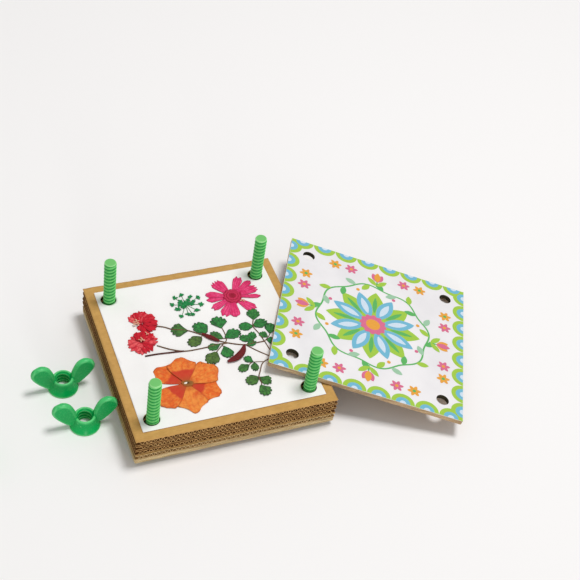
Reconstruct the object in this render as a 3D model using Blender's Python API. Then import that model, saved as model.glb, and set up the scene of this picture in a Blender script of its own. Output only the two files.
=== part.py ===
"""A small square flower press, open: a stack of corrugated cardboard and paper on a thin board,
four plastic bolts through its corners, pressed flowers on the top paper, the upper board leaning
on the stack's edge and four wing nuts on the table. Metres, +Z up. The origin lies on the table,
in the middle of the whole set's outline."""

from collections import Counter
from math import asin, atan2, cos, hypot, pi, radians, sin

import bmesh
import bpy
from mathutils import Vector
from mathutils.geometry import delaunay_2d_cdt, intersect_point_line

MM = 0.001

# Boards and stack
PRESS_SIDE = 120 * MM
BOARD_CORNER_RADIUS = 1.0 * MM
BOTTOM_BOARD_THICKNESS = 3.2 * MM
TOP_BOARD_THICKNESS = 3.0 * MM
CARDBOARD_THICKNESS = 3.1 * MM
CARDBOARD_SHEETS = 4
PAPER_THICKNESS = 0.4 * MM
PAPER_MARGIN = 5.5 * MM
LAYER_GAP = 0.3 * MM

# Corrugation: two liners with a folded web between them
LINER_THICKNESS = 0.4 * MM
WEB_THICKNESS = 0.4 * MM
FLUTE_PITCH = 7.4 * MM
SHEET_SIDE_WALL = 0.6 * MM

# Bolts
BOLT_INSET = 13 * MM
BOLT_DIAMETER = 7.4 * MM
THREAD_DEPTH = 0.7 * MM
THREAD_PITCH = 2.6 * MM
THREAD_LENGTH = 34 * MM
THREAD_CREST = (0.34, 0.66)
BOLT_STANDS_ABOVE_STACK = 32 * MM
BOLT_TIP_CHAMFER = 0.8 * MM
HEAD_DIAMETER = 14 * MM
HEAD_THICKNESS = 3.0 * MM
HEAD_CHAMFER = 0.6 * MM
HOLE_CLEARANCE = 0.5 * MM

# Wing nuts
NUT_HEIGHT = 8.6 * MM
NUT_BASE_DIAMETER = 17.8 * MM
NUT_BASE_BAND = 1.0 * MM
NUT_WAIST_DIAMETER = 14.4 * MM
NUT_RIM_DIAMETER = 12.6 * MM
NUT_RIM_ROUND = 0.6 * MM
NUT_COUNTERSINK = 0.6 * MM
NUT_THREAD_CLEARANCE = 0.25 * MM
WING_REACH = 18.6 * MM
WING_TOP = 20.6 * MM
WING_LOBE_RADIUS = 5.9 * MM
WING_LOBE_SWEEP = radians(200)
WING_THICKNESS = 3.4 * MM
WING_EDGE_CHAMFER = 0.8 * MM
WING_FOOT_HEIGHT = 2.2 * MM

# Where the nuts lie: gap between the stack's left edge and a nut's wing if it points there, the
# nut's place along that edge, and its turn
NUT_PLACES = {
    "wing_nut_front": (0.4 * MM, -23.7 * MM, radians(-3)),
    "wing_nut_back": (6.0 * MM, 6.0 * MM, radians(1)),
    "wing_nut_outer_back": (61 * MM, 32 * MM, radians(70)),
    "wing_nut_outer_front": (65 * MM, -30 * MM, radians(105)),
}

# How the top board leans: its turn on the slope, the gap to the bolt beside its edge, and how far
# its corner passes that bolt
LID_TURN = radians(28.4)
LID_BOLT_GAP = 0.5 * MM
LID_CORNER_PAST_BOLT = 27 * MM

# The stack's centre, from the middle of the whole set's outline
STACK_PLACE = (-16.81 * MM, 6.22 * MM)

# Round pressed flowers, with the space that each keeps from its neighbours
FLOWER_THICKNESS = 0.5 * MM
FLOWER_SPACE = 1.0 * MM
PINK_RADIUS = 19.5 * MM
PINK_PETALS = 10
PINK_NOTCH = 0.8 * MM
PINK_PETAL_SPLIT = 7.5 * MM
PINK_DISC_RADIUS = 6.0 * MM
PINK_FROM_BOLT = (-0.82, -0.57)
ORANGE_RADIUS = 21 * MM
ORANGE_PETALS = 6
ORANGE_PETAL_SPLIT = 6 * MM
ORANGE_CENTRE_RADIUS = 4.5 * MM
ORANGE_FROM_BOLT = (0.81, 0.59)
ORANGE_BOLT_SPACE = 8.2 * MM
BLOSSOM_RADIUS = 8.0 * MM
BLOSSOM_WAVE = 0.35 * MM
BLOSSOM_HEIGHT = 1.3 * MM
BLOSSOM_FROM_PAPER_EDGE = 9.0 * MM
BLOSSOM_RISE = 7.5 * MM
BLOSSOM_STEP = (0.25, 0.97)
UMBEL_RADIUS = 9.6 * MM
UMBEL_INNER_RING = 5.0 * MM
UMBEL_RAYS = 13
FLORET_RADIUS = 1.6 * MM

# Two sprigs of round leaves, in millimetres from the middle between the pink and the orange flower
STEM_WIDTH = 0.7 * MM
LEAF_RADIUS = 3.5 * MM
LEAF_NOTCH = 0.35 * MM
STEMS = (
    ((-27, 17), (-5, 3), (2, -1), (10, -6), (17, -11), (26, -17)),
    ((-31, 3), (-18, -2), (-10, -4), (0, -6), (4.5, -2.5)),
    ((-36, -4), (-20, -5), (-10, -4)),
    ((17, -11), (22, -3), (23, 5), (33, 5), (38, 1)),
    ((22, -3), (31, -3), (35, -9)),
)
LEAVES = (
    (-16, 11), (-3, 10), (8, 10), (-10, 1), (4, 3.5), (14, 2), (0, -6), (6, -11), (-2, -12),
    (12, -15), (23, 5), (22, -3), (21, -9.5), (33, 5), (38, 1), (31, -3), (35, -9),
)
SMALL_LEAF_RADIUS = 2.9 * MM
SMALL_STEMS = (((28, -21), (22, -26), (18, -34), (18, -40)),)
SMALL_LEAVES = ((17, -21), (12, -26), (19, -28), (13, -36), (21, -37), (19, -43))

# How finely round forms are divided, and the angle between faces that counts as an edge
ROUND_STEPS = 20
HOLE_STEPS = 16
THREAD_STEPS = 10
LOBE_STEPS = 9
CORNER_STEPS = 3
LEAF_STEPS = 8
PETAL_STEPS = 6
SHARP_ANGLE = radians(35)
RIM_ANGLE = radians(60)

# Values that follow from the sizes above
HALF = PRESS_SIDE / 2
BOLT_PLACE = HALF - BOLT_INSET
BOLT_RADIUS = BOLT_DIAMETER / 2
HOLE_RADIUS = BOLT_RADIUS + HOLE_CLEARANCE
PAPER_HALF = HALF - PAPER_MARGIN
TABLE_Z = -HEAD_THICKNESS - LAYER_GAP
LAYER_STEP = CARDBOARD_THICKNESS + PAPER_THICKNESS + 2 * LAYER_GAP
FIRST_SHEET_Z = BOTTOM_BOARD_THICKNESS + LAYER_GAP
STACK_TOP = FIRST_SHEET_Z + (CARDBOARD_SHEETS - 1) * LAYER_STEP + CARDBOARD_THICKNESS
FLOWER_Z = STACK_TOP + PAPER_THICKNESS + 2 * LAYER_GAP
BOLT_TIP_Z = STACK_TOP + BOLT_STANDS_ABOVE_STACK
THREAD_START_Z = BOLT_TIP_Z - THREAD_LENGTH
NUT_BORE_RADIUS = BOLT_RADIUS + NUT_THREAD_CLEARANCE


def remove_everything():
    for old in list(bpy.data.objects):
        bpy.data.objects.remove(old, do_unlink=True)


def linear(channel):
    """One sRGB channel, 0 to 255, as the linear value that a shader takes."""
    value = channel / 255
    return value / 12.92 if value <= 0.04045 else ((value + 0.055) / 1.055) ** 2.4


def plain_material(name, srgb, roughness):
    material = bpy.data.materials.new(name)
    material.use_nodes = True
    shader = material.node_tree.nodes["Principled BSDF"]
    shader.inputs["Base Color"].default_value = (*[linear(c) for c in srgb], 1)
    shader.inputs["Roughness"].default_value = roughness
    shader.inputs["Metallic"].default_value = 0
    return material


def mesh_from(bm, name):
    bmesh.ops.recalc_face_normals(bm, faces=bm.faces)
    mesh = bpy.data.meshes.new(name)
    bm.to_mesh(mesh)
    bm.free()
    return mesh


def place(name, mesh, material=None, location=(0, 0, 0), turn=0.0, parent=None):
    obj = bpy.data.objects.new(name, mesh)
    bpy.context.scene.collection.objects.link(obj)
    obj.location = location
    obj.rotation_euler = (0, 0, turn)
    obj.parent = parent
    if material:
        obj.data.materials.clear()
        obj.data.materials.append(material)
    return obj


def guide(name, mesh, location=(0, 0, 0), turn=0.0):
    """A cutter, or a shape that only feeds a Boolean."""
    obj = place(name, mesh, location=location, turn=turn)
    obj.hide_render = True
    obj.display_type = "WIRE"
    return obj


def combine(obj, other, operation):
    modifier = obj.modifiers.new(other.name, "BOOLEAN")
    modifier.operation = operation
    modifier.solver = "EXACT"
    modifier.object = other


def finished_mesh(obj, name):
    """The mesh that an object shows with its modifiers, for several objects to share."""
    mesh = bpy.data.meshes.new_from_object(obj.evaluated_get(bpy.context.evaluated_depsgraph_get()))
    mesh.name = name
    mesh.shade_smooth()
    mesh.set_sharp_from_angle(angle=SHARP_ANGLE)
    return mesh


def circle(centre, radius, steps):
    angles = [2 * pi * i / steps for i in range(steps)]
    return [(centre[0] + radius * cos(a), centre[1] + radius * sin(a)) for a in angles]


def rounded_square(half, radius):
    """Corner arcs, anticlockwise from the right front corner."""
    points = []
    for side_x, side_y, start in ((1, -1, -pi / 2), (1, 1, 0), (-1, 1, pi / 2), (-1, -1, pi)):
        centre_x, centre_y = side_x * (half - radius), side_y * (half - radius)
        for i in range(CORNER_STEPS + 1):
            angle = start + i * pi / 2 / CORNER_STEPS
            points.append((centre_x + radius * cos(angle), centre_y + radius * sin(angle)))
    return points


def bolt_places():
    return {
        "front_left": (-BOLT_PLACE, -BOLT_PLACE),
        "front_right": (BOLT_PLACE, -BOLT_PLACE),
        "back_left": (-BOLT_PLACE, BOLT_PLACE),
        "back_right": (BOLT_PLACE, BOLT_PLACE),
    }


def filled(bm, edges, depth):
    """Fill flat closed loops, those inside others as holes, and thicken the face along +Z."""
    bmesh.ops.triangle_fill(bm, use_beauty=True, use_dissolve=False, edges=edges)
    raised = bmesh.ops.extrude_face_region(bm, geom=bm.faces[:])
    moved = [item for item in raised["geom"] if isinstance(item, bmesh.types.BMVert)]
    bmesh.ops.translate(bm, verts=moved, vec=(0, 0, depth))
    return bm


def extruded(loops, depth):
    bm = bmesh.new()
    edges = []
    for loop in loops:
        ring = [bm.verts.new((x, y, 0)) for x, y in loop]
        edges += [bm.edges.new((ring[i - 1], ring[i])) for i in range(len(ring))]
    return filled(bm, edges, depth)


def merged_outlines(outlines, depth):
    """Overlapping flat outlines as one solid."""
    points, faces = [], []
    for outline in outlines:
        faces.append(list(range(len(points), len(points) + len(outline))))
        points += [Vector(point) for point in outline]
    flat, _, triangles, *_ = delaunay_2d_cdt(points, [], faces, 1, 1e-7)
    sides = Counter(frozenset(pair) for a, b, c in triangles for pair in ((a, b), (b, c), (c, a)))
    rim = [tuple(side) for side, uses in sides.items() if uses == 1]
    bm = bmesh.new()
    verts = {i: bm.verts.new((*flat[i], 0)) for side in rim for i in side}
    edges = [bm.edges.new((verts[a], verts[b])) for a, b in rim]
    return filled(bm, edges, depth)


def spun(profile, steps):
    """A solid of revolution about Z. The profile is a list of (radius, height) from axis to axis."""
    bm = bmesh.new()
    rings = []
    for radius, height in profile:
        points = circle((0, 0), radius, steps) if radius else [(0, 0)]
        rings.append([bm.verts.new((x, y, height)) for x, y in points])
    for lower, upper in zip(rings, rings[1:]):
        for i in range(steps):
            corners = [lower[i % len(lower)], lower[(i + 1) % steps % len(lower)]]
            corners += [upper[(i + 1) % steps % len(upper)], upper[i % len(upper)]]
            bm.faces.new(list(dict.fromkeys(corners)))
    return bm


def thread_solid(crest, root, start, turns):
    """A solid screw: a root line and a two-cornered crest carried along a helix, closed at both ends."""
    count = turns * THREAD_STEPS
    bm = bmesh.new()
    lines = []
    for share, radius in ((0, root), (THREAD_CREST[0], crest), (THREAD_CREST[1], crest)):
        line = []
        for i in range(count + (0 if share else THREAD_STEPS) + 1):
            angle = 2 * pi * i / THREAD_STEPS
            height = start + THREAD_PITCH * (i / THREAD_STEPS + share)
            line.append(bm.verts.new((radius * cos(angle), radius * sin(angle), height)))
        lines.append(line)
    lines.append(lines[0][THREAD_STEPS:])
    for lower, upper in zip(lines, lines[1:]):
        for i in range(count):
            bm.faces.new((lower[i], lower[i + 1], upper[i + 1], upper[i]))
    for i in (0, count):
        loop = lines[0][i:i + THREAD_STEPS] + [lines[3][i], lines[2][i], lines[1][i]]
        middle = bm.verts.new((0, 0, start + THREAD_PITCH * (i / THREAD_STEPS + 0.5)))
        for a, b in zip(loop, loop[1:] + loop[:1]):
            bm.faces.new((a, b, middle))
    bmesh.ops.triangulate(bm, faces=bm.faces[:])
    return bm


def polar_plate(outline, steps, heights):
    """A flat-bottomed form about Z. outline(angle) is its edge; heights are (share of it, height)."""
    bm = bmesh.new()
    angles = [2 * pi * i / steps for i in range(steps)]
    top = bm.verts.new((0, 0, heights[0][1]))
    bottom = bm.verts.new((0, 0, 0))
    rings = []
    for share, height in (*heights, (1, 0)):
        points = [(outline(a) * share * cos(a), outline(a) * share * sin(a)) for a in angles]
        rings.append([bm.verts.new((x, y, height)) for x, y in points])
    for i in range(steps):
        j = (i + 1) % steps
        bm.faces.new((top, rings[0][i], rings[0][j]))
        bm.faces.new((bottom, rings[-1][j], rings[-1][i]))
        for inner, outer in zip(rings, rings[1:]):
            bm.faces.new((inner[i], outer[i], outer[j], inner[j]))
    return bm


def lid_centre():
    """The top board's centre on the slope, from the stack's edge: its front left edge passes the front
    right bolt at LID_BOLT_GAP, and its near corner lies LID_CORNER_PAST_BOLT beyond that bolt."""
    edge_x, edge_y = cos(LID_TURN), -sin(LID_TURN)
    side_x, side_y = sin(LID_TURN), cos(LID_TURN)
    off = HALF + BOLT_RADIUS + LID_BOLT_GAP
    on = HALF - LID_CORNER_PAST_BOLT
    return (-BOLT_INSET + off * side_x + on * edge_x, -BOLT_PLACE + off * side_y + on * edge_y)


def lid_tilt(along):
    """The slope at which the underside clears the stack's edge and the far corner meets the table."""
    arc_middle = (HALF - BOARD_CORNER_RADIUS) * (cos(LID_TURN) + sin(LID_TURN))
    reach = along + arc_middle + BOARD_CORNER_RADIUS
    drop = STACK_TOP - TABLE_Z
    return asin(drop / hypot(reach, LAYER_GAP)) + atan2(LAYER_GAP, reach)


def make_boards(wood):
    holes = [circle(centre, HOLE_RADIUS, HOLE_STEPS) for centre in bolt_places().values()]
    outline = rounded_square(HALF, BOARD_CORNER_RADIUS)
    bottom = mesh_from(extruded([outline, *holes], BOTTOM_BOARD_THICKNESS), "bottom_board")
    place("bottom_board", bottom, wood)

    lean = bpy.data.objects.new("top_board_lean", None)
    bpy.context.scene.collection.objects.link(lean)
    lean.location = (HALF, 0, STACK_TOP)
    along, across = lid_centre()
    lean.rotation_euler = (0, lid_tilt(along), 0)
    top = mesh_from(extruded([outline, *holes], TOP_BOARD_THICKNESS), "top_board")
    place("top_board", top, wood, (along, across, LAYER_GAP), -LID_TURN, lean)


def corrugated_mesh():
    """A sheet with straight flutes along Y: triangles left open between the liners and the folded web."""
    inner = CARDBOARD_THICKNESS - 2 * LINER_THICKNESS
    width = PRESS_SIDE - 2 * SHEET_SIDE_WALL
    flutes = round(width / FLUTE_PITCH)
    pitch = width / flutes
    slope_side = WEB_THICKNESS * hypot(inner, pitch / 2) / inner
    low, high = LINER_THICKNESS, CARDBOARD_THICKNESS - LINER_THICKNESS
    flute_height = inner - WEB_THICKNESS
    half_base = (pitch / 2 - slope_side) * flute_height / inner
    loops = [[(-HALF, 0), (HALF, 0), (HALF, CARDBOARD_THICKNESS), (-HALF, CARDBOARD_THICKNESS)]]
    for i in range(flutes):
        middle = -width / 2 + (i + 0.5) * pitch
        loops.append([(middle - half_base, low), (middle + half_base, low), (middle, low + flute_height)])
        if i:
            joint = middle - pitch / 2
            tip = (joint, high - flute_height)
            loops.append([(joint - half_base, high), tip, (joint + half_base, high)])
    bm = extruded(loops, PRESS_SIDE)
    for vert in bm.verts:
        vert.co = Vector((vert.co.x, vert.co.z - HALF, vert.co.y))
    return mesh_from(bm, "corrugated_blank")


def make_layers(kraft, white):
    blank = guide("corrugated_blank", corrugated_mesh())
    drill = mesh_from(extruded([circle((0, 0), HOLE_RADIUS, HOLE_STEPS)], LAYER_STEP), "drill")
    for name, (x, y) in bolt_places().items():
        combine(blank, guide("drill_" + name, drill, (x, y, -LAYER_GAP)), "DIFFERENCE")
    sheet_mesh = finished_mesh(blank, "cardboard_sheet")

    side = PAPER_HALF
    square = [(side, -side), (side, side), (-side, side), (-side, -side)]
    holes = [circle(centre, HOLE_RADIUS, HOLE_STEPS) for centre in bolt_places().values()]
    paper_mesh = mesh_from(extruded([square, *holes], PAPER_THICKNESS), "paper")

    for i in range(CARDBOARD_SHEETS):
        sheet_z = FIRST_SHEET_Z + i * LAYER_STEP
        place(f"cardboard_sheet_{i + 1}", sheet_mesh, kraft, (0, 0, sheet_z))
        name = "top_paper" if i == CARDBOARD_SHEETS - 1 else f"blotting_paper_{i + 1}"
        place(name, paper_mesh, white, (0, 0, sheet_z + CARDBOARD_THICKNESS + LAYER_GAP))


def make_bolts(green):
    tip = BOLT_TIP_Z
    start = THREAD_START_Z
    root = BOLT_RADIUS - THREAD_DEPTH
    turns = int(THREAD_LENGTH / THREAD_PITCH) + 3
    thread = mesh_from(thread_solid(BOLT_RADIUS, root, start - 2 * THREAD_PITCH, turns), "bolt_thread")
    bolt = guide("bolt_blank", thread)

    neck, outside = root - LAYER_GAP, BOLT_RADIUS + LAYER_GAP
    limits = [(0, start - LAYER_GAP), (neck, start - LAYER_GAP), (neck, start + LAYER_GAP),
              (outside, start + outside - neck), (outside, tip - BOLT_TIP_CHAMFER - LAYER_GAP),
              (BOLT_RADIUS - BOLT_TIP_CHAMFER, tip), (0, tip)]
    envelope = guide("thread_envelope", mesh_from(spun(limits, ROUND_STEPS), "thread_envelope"))
    combine(bolt, envelope, "INTERSECT")

    head = HEAD_DIAMETER / 2
    shank = [(0, TABLE_Z), (head - HEAD_CHAMFER, TABLE_Z), (head, TABLE_Z + HEAD_CHAMFER),
             (head, -LAYER_GAP), (BOLT_RADIUS, -LAYER_GAP), (BOLT_RADIUS, start), (0, start)]
    combine(bolt, guide("bolt_head", mesh_from(spun(shank, ROUND_STEPS), "bolt_head")), "UNION")

    bolt_mesh = finished_mesh(bolt, "bolt")
    for name, (x, y) in bolt_places().items():
        place("bolt_" + name, bolt_mesh, green, (x, y, 0))


def wing_outline():
    """The paddle in the nut's upright plane: a lobe and two straight sides running in to the hub."""
    lobe_x, lobe_z = WING_REACH - WING_LOBE_RADIUS, WING_TOP - WING_LOBE_RADIUS
    lean = atan2(lobe_z, lobe_x)
    angles = [lean + WING_LOBE_SWEEP * (i / LOBE_STEPS - 0.5) for i in range(LOBE_STEPS + 1)]
    lobe = [(lobe_x + WING_LOBE_RADIUS * cos(a), lobe_z + WING_LOBE_RADIUS * sin(a)) for a in angles]
    root_x = NUT_BORE_RADIUS + NUT_COUNTERSINK + LAYER_GAP
    foot_x = NUT_WAIST_DIAMETER / 2
    return [(root_x, WING_FOOT_HEIGHT), (foot_x, WING_FOOT_HEIGHT), *lobe,
            (root_x, NUT_HEIGHT - NUT_RIM_ROUND)]


def wing_mesh():
    bm = extruded([wing_outline()], WING_THICKNESS)
    for vert in bm.verts:
        vert.co = Vector((vert.co.x, WING_THICKNESS / 2 - vert.co.z, vert.co.y))
    bmesh.ops.recalc_face_normals(bm, faces=bm.faces[:])
    rims = [edge for edge in bm.edges if edge.calc_face_angle(0) > RIM_ANGLE]
    bmesh.ops.bevel(bm, geom=rims, offset=WING_EDGE_CHAMFER, segments=1, affect="EDGES")
    return mesh_from(bm, "wing")


def make_wing_nuts(green):
    base, waist, rim = NUT_BASE_DIAMETER / 2, NUT_WAIST_DIAMETER / 2, NUT_RIM_DIAMETER / 2
    hub = [(0, 0), (base, 0), (base, NUT_BASE_BAND), (waist, (NUT_BASE_BAND + NUT_HEIGHT) / 2),
           (rim, NUT_HEIGHT - NUT_RIM_ROUND), (rim - NUT_RIM_ROUND, NUT_HEIGHT), (0, NUT_HEIGHT)]
    nut = guide("wing_nut_blank", mesh_from(spun(hub, ROUND_STEPS), "wing_nut_blank"))
    wing = wing_mesh()
    for name, turn in (("right_wing", 0), ("left_wing", pi)):
        combine(nut, guide(name, wing, turn=turn), "UNION")

    bore, minor = NUT_BORE_RADIUS, NUT_BORE_RADIUS - THREAD_DEPTH
    turns = int(NUT_HEIGHT / THREAD_PITCH) + 3
    tap = mesh_from(thread_solid(bore, minor, -1.5 * THREAD_PITCH, turns), "tap")
    combine(nut, guide("tap", tap), "DIFFERENCE")
    sink_z = NUT_HEIGHT - NUT_COUNTERSINK - THREAD_DEPTH
    sink = [(0, sink_z), (minor, sink_z), (bore + NUT_COUNTERSINK + LAYER_GAP, NUT_HEIGHT + LAYER_GAP),
            (0, NUT_HEIGHT + LAYER_GAP)]
    combine(nut, guide("countersink", mesh_from(spun(sink, ROUND_STEPS), "countersink")), "DIFFERENCE")

    nut_mesh = finished_mesh(nut, "wing_nut")
    for name, (gap, y, turn) in NUT_PLACES.items():
        place(name, nut_mesh, green, (-HALF - gap - WING_REACH, y, TABLE_Z), turn)


def settled(point, reach, others):
    """The point, moved straight out from each round flower that its reach would come too close to."""
    for centre, radius in others:
        away = point - centre
        least = radius + reach + FLOWER_SPACE
        if away.length < least:
            point = centre + away.normalized() * least
    return point


def flower_places():
    """Centre and radius of each round flower, laid down one after another."""
    pink_off = BOLT_RADIUS + FLOWER_SPACE + PINK_RADIUS
    pink = Vector((BOLT_PLACE, BOLT_PLACE)) + Vector(PINK_FROM_BOLT) * pink_off
    orange_off = BOLT_RADIUS + ORANGE_BOLT_SPACE + ORANGE_RADIUS
    orange = Vector((-BOLT_PLACE, -BOLT_PLACE)) + Vector(ORANGE_FROM_BOLT) * orange_off
    places = {"pink": (pink, PINK_RADIUS)}
    places["orange"] = (settled(orange, ORANGE_RADIUS, places.values()), ORANGE_RADIUS)
    umbel = pink - Vector((PINK_RADIUS + FLOWER_SPACE + UMBEL_RADIUS, FLOWER_SPACE))
    places["umbel"] = (settled(umbel, UMBEL_RADIUS, places.values()), UMBEL_RADIUS)
    lower = Vector((BLOSSOM_FROM_PAPER_EDGE + BLOSSOM_RADIUS - PAPER_HALF, BLOSSOM_RISE))
    places["lower"] = (settled(lower, BLOSSOM_RADIUS, places.values()), BLOSSOM_RADIUS)
    upper = places["lower"][0] + Vector(BLOSSOM_STEP) * 2 * BLOSSOM_RADIUS
    places["upper"] = (settled(upper, BLOSSOM_RADIUS, places.values()), BLOSSOM_RADIUS)
    return places


def pink_edge(angle):
    """Narrow petals with a shallow notch at each tip. The angle is 0 between two petals."""
    off_middle = abs((angle * PINK_PETALS / (2 * pi)) % 1 - 0.5) * 2
    return PINK_RADIUS - PINK_NOTCH * (off_middle < 0.2) - PINK_PETAL_SPLIT * max(off_middle - 0.5, 0) * 2


def orange_edge(angle):
    """Broad round petals. The angle is 0 in the middle of one."""
    return ORANGE_RADIUS - ORANGE_PETAL_SPLIT * (1 - abs(cos(angle * ORANGE_PETALS / 2)) ** 0.6)


def blossom_edge(angle):
    return BLOSSOM_RADIUS - BLOSSOM_WAVE * (2 - cos(6 * angle) - sin(9 * angle)) / 2


def leaf_outline(centre, radius):
    """A round leaf, its edge gently notched."""
    points = []
    for i, (x, y) in enumerate(circle((0, 0), 1, LEAF_STEPS)):
        reach = radius - LEAF_NOTCH * (i % 2)
        points.append((centre.x + reach * x, centre.y + reach * y))
    return points


def strip(start, end):
    """A stem's straight piece, half its width longer at both ends."""
    along = (end - start).normalized() * STEM_WIDTH / 2
    side = along.orthogonal()
    return [start - along - side, end + along - side, end + along + side, start - along + side]


def nearest_on_stems(point, pieces):
    found = []
    for start, end in pieces:
        on_line, share = intersect_point_line(point, start, end)
        found.append(start if share < 0 else end if share > 1 else on_line)
    return min(found, key=lambda place: (place - point).length)


def sprig_mesh(name, leaves, radius, stems, middle, flowers):
    """Leaves with a stalk to the nearest stem, all kept clear of the round flowers."""
    outlines, pieces = [], []
    for stem in stems:
        points = [settled(middle + Vector(point) * MM, STEM_WIDTH, flowers) for point in stem]
        pieces += zip(points, points[1:])
    for leaf in leaves:
        centre = settled(middle + Vector(leaf) * MM, radius, flowers)
        foot = nearest_on_stems(centre, pieces)
        outlines.append(leaf_outline(centre, radius))
        if (foot - centre).length > STEM_WIDTH:
            outlines.append(strip(foot, centre))
    outlines += [strip(start, end) for start, end in pieces]
    return mesh_from(merged_outlines(outlines, FLOWER_THICKNESS), name)


def umbel_mesh():
    """Small florets at the ends of fine rays, in two rings."""
    outlines = [circle((0, 0), 2 * STEM_WIDTH, LEAF_STEPS)]
    for i, (x, y) in enumerate(circle((0, 0), 1, UMBEL_RAYS)):
        end = Vector((x, y)) * (UMBEL_RADIUS - FLORET_RADIUS if i % 2 else UMBEL_INNER_RING)
        outlines.append(strip(Vector((0, 0)), end))
        outlines.append(circle(end, FLORET_RADIUS, LEAF_STEPS))
    return mesh_from(merged_outlines(outlines, FLOWER_THICKNESS), "green_umbel")


def make_flowers():
    flowers = flower_places()
    thin, crown = FLOWER_THICKNESS, 2 * FLOWER_THICKNESS
    disc = PINK_DISC_RADIUS / PINK_RADIUS
    pink = polar_plate(pink_edge, PETAL_STEPS * PINK_PETALS, ((disc, crown), (disc, thin), (1, thin)))
    heart = ORANGE_CENTRE_RADIUS / ORANGE_RADIUS
    steps = PETAL_STEPS * ORANGE_PETALS
    orange = polar_plate(orange_edge, steps, ((heart, crown), (heart, thin), (1, thin)))
    blossom = polar_plate(blossom_edge, 2 * ROUND_STEPS, ((0.6, BLOSSOM_HEIGHT), (1, thin)))
    red_mesh = mesh_from(blossom, "red_blossom")

    red = plain_material("red_petals", (196, 28, 48), 0.7)
    leaf = plain_material("leaf_green", (52, 92, 40), 0.75)
    pink_petals = plain_material("pink_petals", (214, 62, 120), 0.7)
    orange_petals = plain_material("orange_petals", (236, 118, 36), 0.7)
    umbel_green = plain_material("umbel_green", (44, 112, 66), 0.75)
    round_flowers = (
        ("pink_flower", "pink", mesh_from(pink, "pink"), pink_petals),
        ("orange_flower", "orange", mesh_from(orange, "orange"), orange_petals),
        ("red_blossom_upper", "upper", red_mesh, red),
        ("red_blossom_lower", "lower", red_mesh, red),
        ("green_umbel", "umbel", umbel_mesh(), umbel_green),
    )
    for name, key, mesh, material in round_flowers:
        place(name, mesh, material, (*flowers[key][0], FLOWER_Z))

    middle = (flowers["pink"][0] + flowers["orange"][0]) / 2
    around = flowers.values()
    large = sprig_mesh("leaf_sprig", LEAVES, LEAF_RADIUS, STEMS, middle, around)
    small = sprig_mesh("small_sprig", SMALL_LEAVES, SMALL_LEAF_RADIUS, SMALL_STEMS, middle, around)
    place("leaf_sprig", large, leaf, (0, 0, FLOWER_Z))
    place("small_leaf_sprig", small, leaf, (0, 0, FLOWER_Z))


def set_on_table():
    """Move the set so that the origin is on the table, in the middle of its outline."""
    for obj in bpy.data.objects:
        if not obj.parent and not obj.hide_render:
            obj.location += Vector((*STACK_PLACE, -TABLE_Z))


def build():
    remove_everything()
    make_boards(plain_material("hardboard", (170, 146, 106), 0.7))
    kraft = plain_material("kraft_cardboard", (193, 151, 86), 0.85)
    make_layers(kraft, plain_material("white_paper", (246, 243, 242), 0.9))
    make_bolts(plain_material("bolt_plastic", (107, 186, 115), 0.35))
    make_wing_nuts(plain_material("green_plastic", (0, 166, 82), 0.35))
    make_flowers()
    set_on_table()


build()
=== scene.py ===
from math import atan2, cos, pi, radians, sin

import bmesh
import bpy
import numpy as np
from mathutils import Matrix, Vector


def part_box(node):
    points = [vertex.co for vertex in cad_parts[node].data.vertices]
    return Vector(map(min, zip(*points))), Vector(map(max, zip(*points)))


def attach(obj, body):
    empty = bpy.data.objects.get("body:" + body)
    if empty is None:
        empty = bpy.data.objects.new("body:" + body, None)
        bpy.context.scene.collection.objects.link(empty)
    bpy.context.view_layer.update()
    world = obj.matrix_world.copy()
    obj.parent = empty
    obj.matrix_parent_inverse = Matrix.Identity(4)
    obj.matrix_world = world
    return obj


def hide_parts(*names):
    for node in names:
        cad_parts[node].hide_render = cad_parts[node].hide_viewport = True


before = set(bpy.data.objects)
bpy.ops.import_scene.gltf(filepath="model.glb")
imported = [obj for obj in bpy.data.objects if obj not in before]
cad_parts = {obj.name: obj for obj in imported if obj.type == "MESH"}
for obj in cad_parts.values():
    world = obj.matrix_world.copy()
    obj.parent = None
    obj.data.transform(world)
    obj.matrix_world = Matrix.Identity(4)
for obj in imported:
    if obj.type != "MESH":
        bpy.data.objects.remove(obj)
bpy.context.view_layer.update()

# Shapes are worked out in millimetres from the middle of the bottom board's underside.
boardLow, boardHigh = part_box("bottom_board")
stackOrigin = np.array([(boardLow.x + boardHigh.x) / 2, (boardLow.y + boardHigh.y) / 2, boardLow.z])
boardHalf = 60  # half a side of the boards and cardboards
boltReach = 47  # how far each bolt stands from the middle, along both sides
boltPlaces = {f"{row}_{side}": (x * boltReach, y * boltReach)
              for row, y in (("front", -1), ("back", 1)) for side, x in (("left", -1), ("right", 1))}


def heights(node):  # a node's lowest and highest point, in millimetres above the board's underside
    low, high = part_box(node)
    return (low.z - stackOrigin[2]) * 1000, (high.z - stackOrigin[2]) * 1000


def middle(node):  # of its box, in millimetres from the stack's origin
    low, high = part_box(node)
    return (np.array((low + high) / 2) - stackOrigin) * 1000


tableHeight = heights("bolt_front_left")[0]


def colour(red, green, blue):  # a screen colour, 0 to 255, as the linear colour that a shader takes
    parts = [c / 255 for c in (red, green, blue)]
    return (*[c / 12.92 if c <= 0.04045 else ((c + 0.055) / 1.055) ** 2.4 for c in parts], 1)


def operator(operation, reflected=False):
    # A method that adds a Math node. A reflected one takes its values the other way round.
    def method(self, *others):
        values = (self, *others)[::-1] if reflected else (self, *others)
        return self.recipe.node("Math", {"operation": operation}, dict(enumerate(values)))
    return method


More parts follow.
